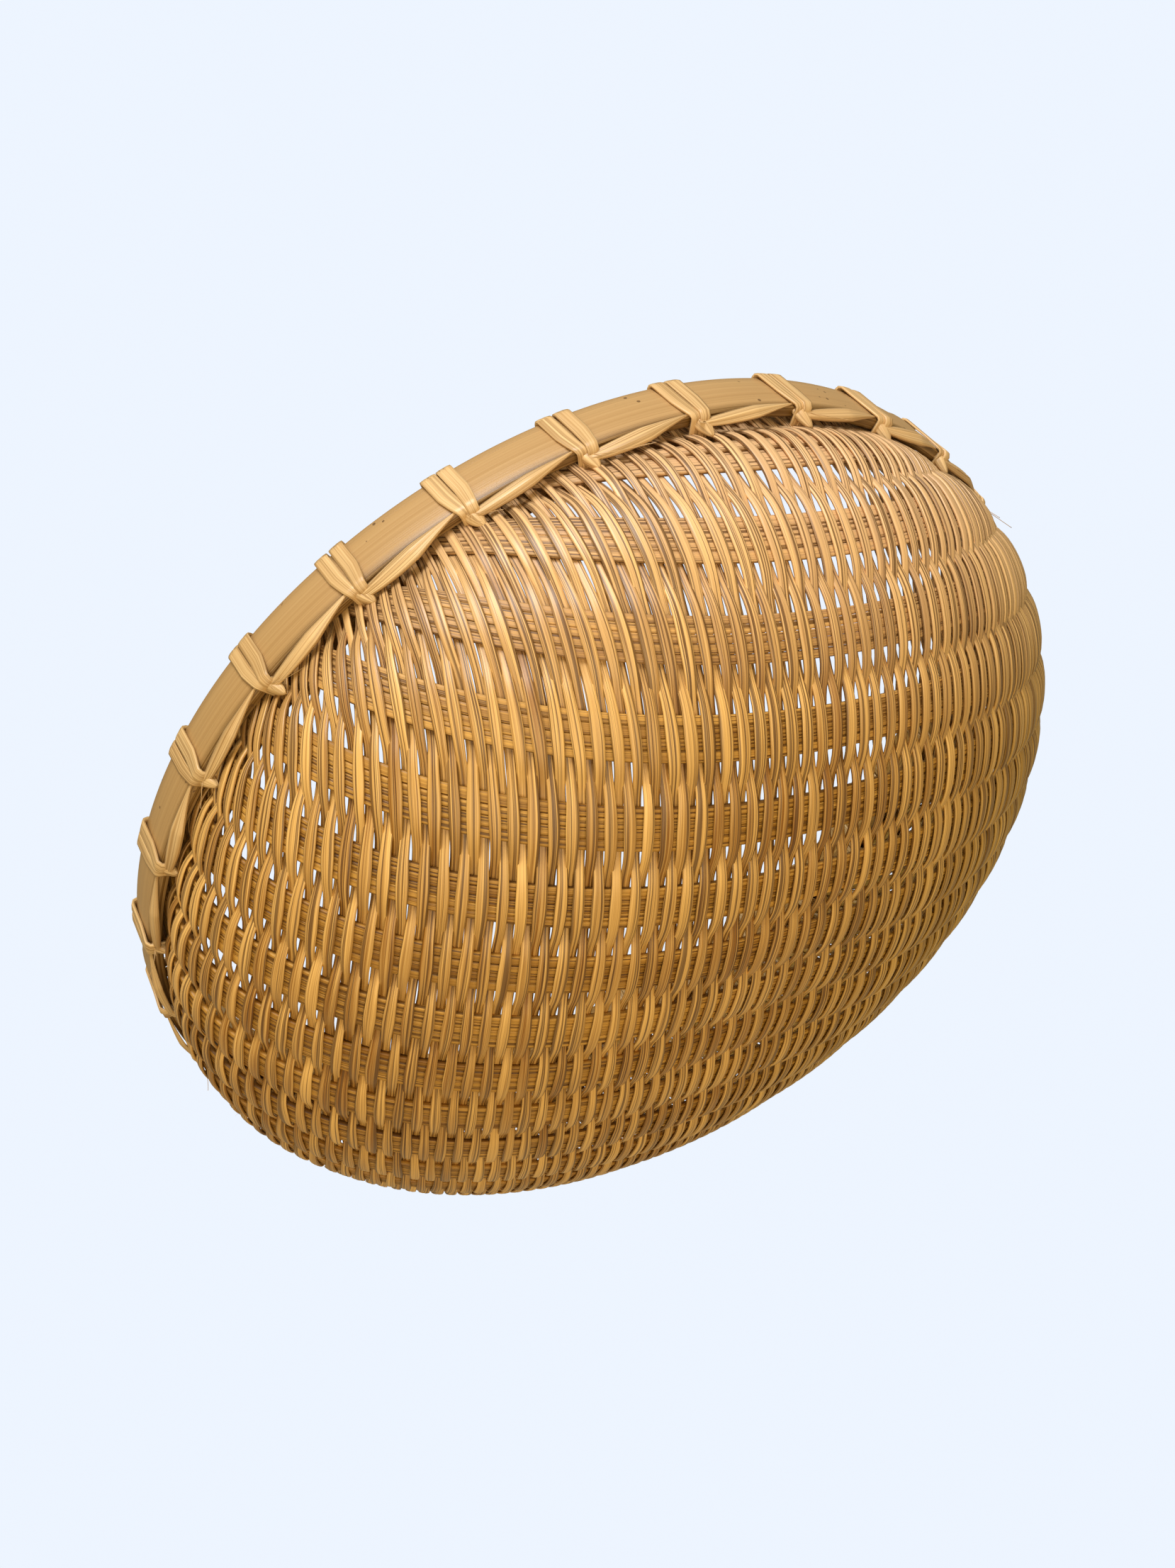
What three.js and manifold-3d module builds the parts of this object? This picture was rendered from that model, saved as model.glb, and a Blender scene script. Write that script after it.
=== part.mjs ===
// Shallow round bamboo colander basket.
//
// Flat ribs run one way across the bowl, and bands of thin weavers cross them, outside one rib and
// inside the next. The edge of the weave is clamped between an outer and an inner bamboo hoop. Long
// lashing strips bind the two hoops, passing through the weave just below them at every station.
//
// Millimetres, +Z up, origin at the middle of the flat base that the basket stands on.
//
// The weave is laid out on a flat sheet, with "across" along the ribs and "along" along the weavers.
// A point of the sheet is carried onto the bowl by keeping its compass direction and its distance
// from the middle, measured along the bowl's profile. A lift off the sheet is positive outwards.

import * as THREE from "three";
import { mergeVertices } from "three/addons/utils/BufferGeometryUtils.js";
import Module from "manifold-3d";

// --- Driving dimensions -------------------------------------------------------------------------

const rimRadius = 120; // outer face of the outer hoop
const hoopTop = 80; // top of the hoops, over the surface that the basket stands on
const baseRadius = 20; // flat disc in the middle of the base
const sideFullness = 1.9; // 2 is an elliptical side, and more is fuller

const hoopHeight = 11.5;
const outerHoopThickness = 2.4;
const innerHoopThickness = 2.0;
const scarfLength = 12; // slant of the joint where a hoop's two ends meet
const scarfGap = 0.5;
const scarfAngle = 62; // degrees round the rim
const scarfFade = 5; // hoop segments over which the slant straightens out
const hoopSegments = 60;

const ribsPerSide = 8; // on either side of the middle rib
const lastRibInset = 18.4; // from the middle of the last rib to the rim
const ribSpacingGrowth = 0.25; // how much wider the spacing gets, rib by rib
const ribWidth = 9.4;
const ribThickness = 1.1;
const ribLay = { fan: 0.1, skew: 0.15 }; // spread towards the rim, and slant across the bands

const bandsPerSide = 15; // weaver bands on either side of the middle band
const lastBandInset = 13.7; // from the middle of the last band to the rim
const bandGap = 0.5; // between two neighbouring bands
const bandThickness = 0.8;
const bandLay = { fan: 0.1, skew: 0 };
const levelPastRib = 1.2; // how far a band stays level past a rib's edge
const longestStep = 8; // between two corner rows of a band, which keeps its facets on the curve
const slantShare = 0.6; // how much further, as a share of its width, where they cross at a slant

const weaveClearance = 0.8; // between a rib and the bands that cross it
const hoopClearance = 0.5; // between a hoop and the weave or the lashings
const fitGap = 0.3; // between other pieces that touch
const endBelowRim = 0.8; // ends of ribs and bands, below the top of the hoops

const lashingStations = 30;
const lashingStrips = 3; // lengths of strip, each binding an equal share of the stations
const firstStation = 5; // degrees round the rim
const wrapWidth = 7.0; // two turns side by side
const neckWidth = 2.6; // where both turns squeeze through the weave
const stripThickness = 0.8;
const wrapLean = -1.0; // how far the top of a wrap leans along the rim
const runDepth = 2.8; // strip that runs on to the next station, at its middle
const runThickness = 1.1;
const runEndShare = 0.5; // its depth at its ends, as a share of that
const runSegments = 4;

const profileSteps = 400;

// --- Sizes that follow --------------------------------------------------------------------------

const bandLift = ribThickness / 2 + weaveClearance + bandThickness / 2;
const weaveHalf = bandLift + bandThickness / 2; // half the thickness of the whole weave
const wallRadius = rimRadius - outerHoopThickness - hoopClearance - weaveHalf;
const hoopGap = 2 * (weaveHalf + hoopClearance);
const outerHoopInside = rimRadius - outerHoopThickness;
const innerHoopInside = outerHoopInside - hoopGap - innerHoopThickness;
const hoopBottom = hoopTop - hoopHeight;
const neckTop = hoopBottom - fitGap;
const neckBottom = neckTop - stripThickness;
const wallFoot = neckBottom - 2 * fitGap; // the weave is upright from here to its edge

// Profile of the weave's middle surface, from the middle of the base to the rim: a flat disc, a side
// that is nearly a quarter of an ellipse, and an upright edge.
function bowlProfile() {
  const reach = wallRadius - baseRadius;
  const rise = wallFoot - weaveHalf;
  const points = [{ radius: 0, height: weaveHalf }];
  for (let i = 0; i <= profileSteps; i++) {
    const turn = (i / profileSteps) * (Math.PI / 2);
    points.push({
      radius: baseRadius + reach * Math.sin(turn),
      height: weaveHalf + rise * (1 - Math.max(Math.cos(turn), 0) ** (2 / sideFullness)),
    });
  }
  points.push({ radius: wallRadius, height: hoopTop });
  let run = 0;
  points.forEach((point, i) => {
    if (i > 0) {
      run += Math.hypot(point.radius - points[i - 1].radius, point.height - points[i - 1].height);
    }
    point.run = run;
  });
  return points;
}

const profile = bowlProfile();
const sheetRadius = profile[profile.length - 1].run;
const stripReach = sheetRadius - endBelowRim;
const ribSpacing = (sheetRadius - lastRibInset) / ribsPerSide - ribSpacingGrowth * ribsPerSide;
const bandSpacing = (sheetRadius - lastBandInset) / bandsPerSide;
const bandWidth = bandSpacing - bandGap;

// The profile's radius, height and outward direction at a distance along it.
function profileAt(run) {
  let low = 0;
  let high = profile.length - 1;
  while (high - low > 1) {
    const middle = (low + high) >> 1;
    if (profile[middle].run <= run) {
      low = middle;
    } else {
      high = middle;
    }
  }
  const a = profile[low];
  const b = profile[high];
  const span = b.run - a.run;
  const share = (run - a.run) / span;
  return {
    radius: a.radius + share * (b.radius - a.radius),
    height: a.height + share * (b.height - a.height),
    outward: (b.height - a.height) / span,
    upward: -(b.radius - a.radius) / span,
  };
}

// Carries a point of the sheet, lifted off it, onto the bowl. A point past the rim is brought back.
function ontoBowl(across, along, lift) {
  const run = Math.hypot(across, along);
  const place = profileAt(Math.min(run, stripReach));
  const radius = place.radius + lift * place.outward;
  const direction = run > 0 ? radius / run : 0;
  return new THREE.Vector3(across * direction, along * direction, place.height + lift * place.upward);
}

// A point at an angle round the rim: its radius, its height, and a shift along the rim.
function aroundRim(angle, radius, height, shift = 0) {
  const turned = angle + shift / radius;
  return new THREE.Vector3(radius * Math.cos(turned), radius * Math.sin(turned), height);
}

// --- Solids -------------------------------------------------------------------------------------

const wasm = await Module();
wasm.setup();

// Turns a closed geometry into a solid that can be cut and joined.
function toSolid(geometry) {
  const bare = geometry.clone();
  bare.deleteAttribute("normal");
  bare.deleteAttribute("uv");
  const merged = mergeVertices(bare, 1e-4);
  return new wasm.Manifold(
    new wasm.Mesh({
      numProp: 3,
      vertProperties: merged.getAttribute("position").array,
      triVerts: new Uint32Array(merged.index.array),
    }),
  );
}

// Turns a solid back into a geometry.
function toGeometry(solid) {
  const mesh = solid.getMesh();
  const geometry = new THREE.BufferGeometry();
  const corners = new Float32Array(mesh.vertProperties);
  geometry.setAttribute("position", new THREE.BufferAttribute(corners, 3));
  geometry.setIndex(new THREE.BufferAttribute(new Uint32Array(mesh.triVerts), 1));
  geometry.computeVertexNormals();
  return geometry;
}

// A box cut into segments along its length, each corner put where place(row, side, face) says. Side
// is -1 or 1 across its width, and face is -1 or 1 through its thickness.
function bentStrip(rows, place) {
  const segments = rows - 1;
  const geometry = new THREE.BoxGeometry(segments, 2, 2, segments, 1, 1);
  const position = geometry.getAttribute("position");
  for (let i = 0; i < position.count; i++) {
    const row = Math.round(position.getX(i) + segments / 2);
    const point = place(row, Math.sign(position.getY(i)), Math.sign(position.getZ(i)));
    position.setXYZ(i, point.x, point.y, point.z);
  }
  return geometry;
}

// --- Layout of the weave ------------------------------------------------------------------------

// Distance of a rib from the middle rib, where they cross the middle band.
const ribPlace = (rib) => rib * (ribSpacing + ribSpacingGrowth * Math.abs(rib));
const bandPlace = (band) => band * bandSpacing;

// A strip's offset from the middle of the sheet: it spreads away as it nears the rim, and may slant.
const spread = (place, lay, distance) =>
  place * (1 + lay.fan * (distance / sheetRadius) ** 2) + lay.skew * distance;
const slope = (place, lay, distance) => (2 * place * lay.fan * distance) / sheetRadius ** 2 + lay.skew;

// Where a strip ends at the rim. The direction is 1 for its far end and -1 for its near end.
function reachOf(place, lay, direction) {
  let near = 0;
  let far = stripReach;
  for (let i = 0; i < 50; i++) {
    const middle = (near + far) / 2;
    if (Math.hypot(middle, spread(place, lay, direction * middle)) < stripReach) {
      near = middle;
    } else {
      far = middle;
    }
  }
  return direction * near;
}

// Where a rib and a band cross on the sheet.
function crossing(rib, band) {
  let across = bandPlace(band);
  let along = ribPlace(rib);
  for (let i = 0; i < 30; i++) {
    along = spread(ribPlace(rib), ribLay, across);
    across = spread(bandPlace(band), bandLay, along);
  }
  return { across, along };
}

// Corner of a strip that is square to its own run: a distance along it, and half its width to a side.
function stripCorner(place, lay, distance, halfWidth) {
  const lean = slope(place, lay, distance);
  const length = Math.hypot(1, lean);
  const reach = distance - (halfWidth * lean) / length;
  return { distance: reach, offset: spread(place, lay, distance) + halfWidth / length };
}

// --- Cuts for the lashing -----------------------------------------------------------------------

const stationAngle = (station) =>
  THREE.MathUtils.degToRad(firstStation + (station * 360) / lashingStations);

// The hole that the lashing needs in the weave at one station.
function passage(station) {
  const geometry = new THREE.BoxGeometry(
    innerHoopThickness + hoopGap + outerHoopThickness,
    neckWidth + 2 * fitGap,
    stripThickness + 2 * fitGap,
  );
  geometry.translate(wallRadius, 0, (neckTop + neckBottom) / 2);
  geometry.rotateZ(stationAngle(station));
  return toSolid(geometry);
}

const stations = [...Array(lashingStations).keys()];
const passages = wasm.Manifold.compose(stations.map(passage));

// --- Materials ----------------------------------------------------------------------------------

const bamboo = (color, roughness) =>
  new THREE.MeshStandardMaterial({ color, roughness, metalness: 0 });
const hoopBamboo = bamboo(0xc09a62, 0.4);
const innerBamboo = bamboo(0xb5905a, 0.6);
const ribBamboo = bamboo(0xa47c44, 0.6);
const weaverBamboo = bamboo(0xcaa468, 0.5);
const lashingBamboo = bamboo(0xddc08a, 0.45);

const basket = new THREE.Group();

function addPiece(name, geometry, material) {
  const mesh = new THREE.Mesh(geometry, material);
  mesh.name = name;
  basket.add(mesh);
}

const numbered = (name, number) => `${name}_${String(number).padStart(2, "0")}`;

// --- Hoops --------------------------------------------------------------------------------------

// A flat strip bent into a ring, with its two ends cut on a slant where they meet.
function hoop(innerRadius, thickness) {
  const outerRadius = innerRadius + thickness;
  const gap = scarfGap / outerRadius;
  return bentStrip(hoopSegments + 1, (row, side, face) => {
    const fromEnd = Math.min(row, hoopSegments - row);
    const slant = Math.max(0, 1 - fromEnd / scarfFade) * (scarfLength / outerRadius / 2);
    const turn = gap / 2 + (row / hoopSegments) * (2 * Math.PI - gap);
    const angle = THREE.MathUtils.degToRad(scarfAngle) + side * slant + turn;
    const radius = face > 0 ? outerRadius : innerRadius;
    return aroundRim(angle, radius, side > 0 ? hoopTop : hoopBottom);
  });
}

addPiece("rim_outer_hoop", hoop(outerHoopInside, outerHoopThickness), hoopBamboo);
addPiece("rim_inner_hoop", hoop(innerHoopInside, innerHoopThickness), innerBamboo);

// --- Ribs ---------------------------------------------------------------------------------------

// A rib has a corner row in the gap between each two bands, and lies in the middle of the weave.
function ribStrip(rib) {
  const place = ribPlace(rib);
  const start = reachOf(place, ribLay, -1);
  const end = reachOf(place, ribLay, 1);
  const inside = [];
  for (let band = -bandsPerSide; band < bandsPerSide; band++) {
    const distance = (crossing(rib, band).across + crossing(rib, band + 1).across) / 2;
    if (distance > start + bandSpacing / 4 && distance < end - bandSpacing / 4) {
      inside.push(distance);
    }
  }
  const rows = [start, ...inside, end];
  return bentStrip(rows.length, (row, side, face) => {
    const corner = stripCorner(place, ribLay, rows[row], (-side * ribWidth) / 2);
    return ontoBowl(corner.distance, corner.offset, (face * ribThickness) / 2);
  });
}

for (let rib = -ribsPerSide; rib <= ribsPerSide; rib++) {
  const solid = toSolid(ribStrip(rib)).subtract(passages);
  addPiece(numbered("rib", rib + ribsPerSide + 1), toGeometry(solid), ribBamboo);
}

// --- Weaver bands -------------------------------------------------------------------------------

// A band is level over each rib, on the outside of one and the inside of the next, and slopes from
// one side of the weave to the other in the gap between two ribs. Where the two cross at a slant, the
// level stretch is longer.
function bandStrip(band) {
  const place = bandPlace(band);
  const start = reachOf(place, bandLay, -1);
  const end = reachOf(place, bandLay, 1);
  const level = ribWidth / 2 + levelPastRib;
  const rows = [];
  for (let rib = -ribsPerSide; rib <= ribsPerSide; rib++) {
    const { across, along } = crossing(rib, band);
    const side = (rib + band) % 2 === 0 ? 1 : -1;
    const lean = slope(ribPlace(rib), ribLay, across);
    const half = level * Math.hypot(1, lean) + slantShare * Math.abs(lean) * bandWidth;
    rows.push({ distance: along - half, lift: side * bandLift });
    rows.push({ distance: along + half, lift: side * bandLift });
  }
  const first = start + levelPastRib;
  const last = end - levelPastRib;
  const inside = rows.filter((row) => row.distance > first && row.distance < last);
  const before = rows.filter((row) => row.distance <= first).pop();
  const after = rows.find((row) => row.distance >= last);
  inside.unshift(endRow(start, inside[0], before));
  inside.push(endRow(end, inside[inside.length - 1], after));
  const even = splitLongSteps(inside);
  return bentStrip(even.length, (row, side, face) => {
    const { distance, lift } = even[row];
    const corner = stripCorner(place, bandLay, distance, (side * bandWidth) / 2);
    return ontoBowl(corner.offset, corner.distance, lift + (face * bandThickness) / 2);
  });
}

// A band's end is where the band has got to on its way to the next rib, which may lie past the rim,
// and in the middle of the weave where no rib follows.
function endRow(distance, last, next) {
  if (!next) {
    return { distance, lift: 0 };
  }
  const share = (distance - last.distance) / (next.distance - last.distance);
  return { distance, lift: last.lift + share * (next.lift - last.lift) };
}

// Adds rows between two rows that lie too far apart for the curve.
function splitLongSteps(rows) {
  const even = [rows[0]];
  for (let i = 1; i < rows.length; i++) {
    const from = rows[i - 1];
    const pieces = Math.ceil((rows[i].distance - from.distance) / longestStep);
    for (let piece = 1; piece < pieces; piece++) {
      const share = piece / pieces;
      even.push({
        distance: from.distance + share * (rows[i].distance - from.distance),
        lift: from.lift + share * (rows[i].lift - from.lift),
      });
    }
    even.push(rows[i]);
  }
  return even;
}

for (let band = -bandsPerSide; band <= bandsPerSide; band++) {
  const solid = toSolid(bandStrip(band)).subtract(passages);
  addPiece(numbered("weaver_band", band + bandsPerSide + 1), toGeometry(solid), weaverBamboo);
}

// --- Lashings -----------------------------------------------------------------------------------

// The wrap at one station: a flat loop round both hoops, wide on top and narrow in the weave.
function wrap(station) {
  const inside = innerHoopInside - hoopClearance;
  const outside = rimRadius + fitGap;
  const top = hoopTop + fitGap;
  const edge = stripThickness;
  const outline = new THREE.Shape([
    new THREE.Vector2(inside - edge, neckBottom),
    new THREE.Vector2(outside + edge, neckBottom),
    new THREE.Vector2(outside + edge, top + edge),
    new THREE.Vector2(inside - edge, top + edge),
  ]);
  outline.holes.push(
    new THREE.Path([
      new THREE.Vector2(inside, neckTop),
      new THREE.Vector2(inside, top),
      new THREE.Vector2(outside, top),
      new THREE.Vector2(outside, neckTop),
    ]),
  );
  const geometry = new THREE.ExtrudeGeometry(outline, { depth: 1, bevelEnabled: false });
  const position = geometry.getAttribute("position");
  for (let i = 0; i < position.count; i++) {
    const height = position.getY(i);
    const onTop = height > hoopBottom;
    const width = onTop ? wrapWidth : neckWidth;
    const shift = (0.5 - position.getZ(i)) * width + (onTop ? wrapLean : 0);
    const point = aroundRim(stationAngle(station), position.getX(i), height, shift);
    position.setXYZ(i, point.x, point.y, point.z);
  }
  return toSolid(geometry);
}

// The strip that runs on outside the weave, under the outer hoop, to the next station.
function stretch(station) {
  const start = stationAngle(station);
  const step = stationAngle(station + 1) - start;
  const inner = wallRadius + weaveHalf + hoopClearance;
  const strip = bentStrip(runSegments + 1, (row, side, face) => {
    const share = row / runSegments;
    const fullness = runEndShare + (1 - runEndShare) * Math.sin(Math.PI * share);
    const height = neckTop - (side > 0 ? 0 : runDepth * fullness);
    const radius = inner + (face > 0 ? runThickness : 0);
    return aroundRim(start + share * step, radius, height);
  });
  return toSolid(strip);
}

const stationsPerStrip = lashingStations / lashingStrips;
for (let length = 0; length < lashingStrips; length++) {
  const first = Math.round(length * stationsPerStrip);
  const past = Math.round((length + 1) * stationsPerStrip);
  let solid = wrap(first);
  for (let station = first + 1; station < past; station++) {
    solid = solid.add(stretch(station - 1)).add(wrap(station));
  }
  addPiece(numbered("rim_lashing", length + 1), toGeometry(solid), lashingBamboo);
}

export default basket;
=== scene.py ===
# %% [markdown]
# # A woven bamboo colander basket
# The basket is a shallow bowl of flat ribs and thin weavers, held at its edge between two bamboo
# hoops that a long strip lashes together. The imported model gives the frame: how wide the rim is, how
# high it stands and which piece is which. Every splint here is worked out from those sizes.

# %% Load the frame
import math

import bpy
import numpy as np
from mathutils import Matrix, Vector


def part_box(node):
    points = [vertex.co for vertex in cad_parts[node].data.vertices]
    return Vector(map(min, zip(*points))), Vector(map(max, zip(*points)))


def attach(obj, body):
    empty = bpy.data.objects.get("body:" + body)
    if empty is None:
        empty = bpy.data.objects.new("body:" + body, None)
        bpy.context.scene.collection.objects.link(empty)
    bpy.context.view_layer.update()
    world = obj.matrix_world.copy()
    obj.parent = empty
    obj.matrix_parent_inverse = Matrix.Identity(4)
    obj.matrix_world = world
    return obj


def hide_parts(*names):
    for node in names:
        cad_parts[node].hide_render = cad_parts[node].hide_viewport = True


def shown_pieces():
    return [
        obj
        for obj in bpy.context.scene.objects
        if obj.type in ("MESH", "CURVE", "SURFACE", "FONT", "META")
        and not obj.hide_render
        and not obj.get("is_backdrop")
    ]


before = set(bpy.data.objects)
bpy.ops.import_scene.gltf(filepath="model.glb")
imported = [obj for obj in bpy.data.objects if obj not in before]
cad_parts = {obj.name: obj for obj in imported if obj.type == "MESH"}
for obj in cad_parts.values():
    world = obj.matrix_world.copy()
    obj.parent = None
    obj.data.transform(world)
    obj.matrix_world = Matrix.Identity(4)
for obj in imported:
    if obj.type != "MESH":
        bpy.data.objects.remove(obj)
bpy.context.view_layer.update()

MM = 0.001
chance = np.random.default_rng(24)

# %% [markdown]
# ## The camera
# The basket is seen from outside and below, tilted as a hand would hold it up to the light. The
# camera stands below the height of the base, so the view leans, and its lens is a short one close to
# the basket. It comes first, so that every later step can be looked at.

# %% Camera
CAMERA_PLACE = Vector((-0.1396, -0.2448, -0.1082))
CAMERA_TURN = (129.80, 28.19, -8.06)  # degrees about X, Y and Z
CAMERA_LENS = 29.3

camera_data = bpy.data.cameras.new("camera")
camera_data.lens = CAMERA_LENS
camera_data.sensor_width = 36.0
camera_data.clip_start = 0.01
camera = bpy.data.objects.new("camera", camera_data)
camera.location = CAMERA_PLACE
camera.rotation_euler = [math.radians(angle) for angle in CAMERA_TURN]
bpy.context.scene.collection.objects.link(camera)
bpy.context.scene.camera = camera
print("camera", round(CAMERA_PLACE.length, 3), "m from the base")

# %% [markdown]
# ## The bowl as a map
# A basket maker starts from a flat cross of splints and bends it up into a bowl. The same idea works
# here: the weave is laid out on a flat sheet, and a map carries each point of the sheet onto the bowl.
# A point keeps its compass direction, and its distance from the middle is measured along the bowl's
# profile. A mesh could also be projected onto a sphere, but then the spacing would stretch wrongly
# towards the rim.

# %% Profile of the bowl
outer_low, outer_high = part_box("rim_outer_hoop")
inner_low, inner_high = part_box("rim_inner_hoop")
RIM_RADIUS = outer_high.y
RIM_INSIDE = inner_high.y - 2.0 * MM
HOOP_TOP = outer_high.z
HOOP_BOTTOM = outer_low.z

BASE_RADIUS = 20 * MM
WALL_RADIUS = 115.0 * MM  # middle of the weave where the hoops hold it
BELLY = 1.9 * MM  # how far the side swells out below the hoops
SHOULDER = 7 * MM  # height over which it does
FULLNESS = 1.9
WEAVE_FOOT = 1.75 * MM  # height of the weave's middle over the table
SMOOTHING = 3 * MM


def bowl_profile(step=0.5 * MM):
    """Radius and height along the bowl, in even steps from the middle of the base to the rim.

    A flat disc, then a side where radius = base + reach sin(t) and height = rise (1 - cos(t) ** (2 /
    fullness)), then a shoulder back in to the hoops and an upright edge, smoothed with a Gaussian.
    """
    reach = WALL_RADIUS + BELLY - BASE_RADIUS
    rise = HOOP_BOTTOM - SHOULDER - WEAVE_FOOT
    turn = np.linspace(0, np.pi / 2, 400)
    radius = BASE_RADIUS + reach * np.sin(turn)
    height = WEAVE_FOOT + rise * (1 - np.clip(np.cos(turn), 0, 1) ** (2 / FULLNESS))
    beyond = 20 * MM
    radius = np.concatenate([[-beyond], radius, [WALL_RADIUS, WALL_RADIUS]])
    height = np.concatenate([[WEAVE_FOOT], height, [HOOP_BOTTOM, HOOP_TOP + beyond]])
    run = np.concatenate([[0], np.cumsum(np.hypot(np.diff(radius), np.diff(height)))])
    even = np.arange(0, run[-1], step)
    radius, height = np.interp(even, run, radius), np.interp(even, run, height)
    reach_of_blur = int(3 * SMOOTHING / step)
    blur = np.exp(-0.5 * (np.arange(-reach_of_blur, reach_of_blur + 1) * step / SMOOTHING) ** 2)
    blur /= blur.sum()
    radius = np.convolve(radius, blur, "valid")
    height = np.convolve(height, blur, "valid")
    inside = (radius >= 0) & (height <= HOOP_TOP)
    radius, height = radius[inside], height[inside]
    run = radius[0] + np.concatenate([[0], np.cumsum(np.hypot(np.diff(radius), np.diff(height)))])
    return run, radius, height


RUN, RADIUS, HEIGHT = bowl_profile()
OUTWARD = np.gradient(HEIGHT, RUN)
UPWARD = -np.gradient(RADIUS, RUN)
SHEET = RUN[-1]


def onto_bowl(across, along, lift):
    """Carries sheet points onto the bowl: direction kept, distance run along the profile.

    The lift is added along the bowl's outward normal.
    """
    run = np.maximum(np.hypot(across, along), 1e-9)
    radius = np.interp(run, RUN, RADIUS) + lift * np.interp(run, RUN, OUTWARD)
    height = np.interp(run, RUN, HEIGHT) + lift * np.interp(run, RUN, UPWARD)
    return np.stack([across / run * radius, along / run * radius, height], -1)


print("middle of the base to the rim, along the bowl:", round(SHEET / MM, 1), "mm")

# %% [markdown]
# ## The layout of the weave
# The ribs lie side by side across the base, and the weavers cross them. Nothing is quite square in a
# basket made by hand: strips spread a little towards the rim, where the bowl turns up and would crowd
# their ends together, and the ribs lie askew. A strip at place p is at p (1 + fan t^2 + flare t^4) +
# d (skew + twist t^2), where d is the distance along it and t is that as a share of the sheet. The
# same formula turned round says which rib a point of the sheet is at, and so whether a weaver is
# outside or inside there.

# %% Layout
RIBS_PER_SIDE = 8
RIB_SPACING = 15.6 * MM
RIB_GROWTH = 0.25 * MM
RIB_LAY = {"fan": 0.10, "flare": 0.0, "skew": 0.135, "twist": 0.10}
BANDS_PER_SIDE = 15
BAND_SPACING = 9.7 * MM
SPLINTS_PER_BAND = 5
WEAVER_LAY = {"fan": -0.5, "flare": 0.92, "skew": -0.02, "twist": 0.0}
WEAVER_PITCH = BAND_SPACING / SPLINTS_PER_BAND


def rib_place(rib):
    """Where a rib crosses the middle of the sheet: rib (spacing + growth |rib|)."""
    return rib * (RIB_SPACING + RIB_GROWTH * np.abs(rib))


def spread_and_shift(lay, distance):
    """The two parts of a strip's lay at a distance along it: a scale and an offset."""
    share = distance / SHEET
    scale = 1 + lay["fan"] * share**2 + lay["flare"] * share**4
    return scale, distance * (lay["skew"] + lay["twist"] * share**2)


def rib_number(across, along):
    """The rib that lies at a sheet point, as a number that is whole on a rib's middle line."""
    scale, shift = spread_and_shift(RIB_LAY, across)
    place = (along - shift) / scale
    root = np.sqrt(RIB_SPACING**2 + 4 * RIB_GROWTH * np.abs(place))
    return np.sign(place) * (root - RIB_SPACING) / (2 * RIB_GROWTH)


def offset_of(place, lay, distance):
    """Offset of a strip from the middle line at a distance along it."""
    scale, shift = spread_and_shift(lay, distance)
    return place * scale + shift


def run_of(place, lay, step):
    """Even distances along a strip, from where it ends at one side of the rim to the other."""
    distance = np.linspace(-STRIP_END, STRIP_END, 4001)
    inside = distance[np.hypot(distance, offset_of(place, lay, distance)) < STRIP_END]
    return np.linspace(inside[0], inside[-1], int((inside[-1] - inside[0]) / step) + 2)


STRIP_END = SHEET - 1.0 * MM
print("weaver pitch", round(WEAVER_PITCH / MM, 2), "mm")

# %% [markdown]
# ## Strips as swept profiles
# Every piece of this basket is a strip of bamboo, so one helper serves them all. It takes a grid of
# points, one row for each step along the strip and one column for each corner of its cross-section,
# and joins them into a closed skin with a cap at each end. Writing whole arrays into the mesh is much
# quicker than adding faces one by one. A UV map in metres goes with it, so that the fibres of the
# bamboo can follow the strip, and each strip gets a tone of its own.


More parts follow.
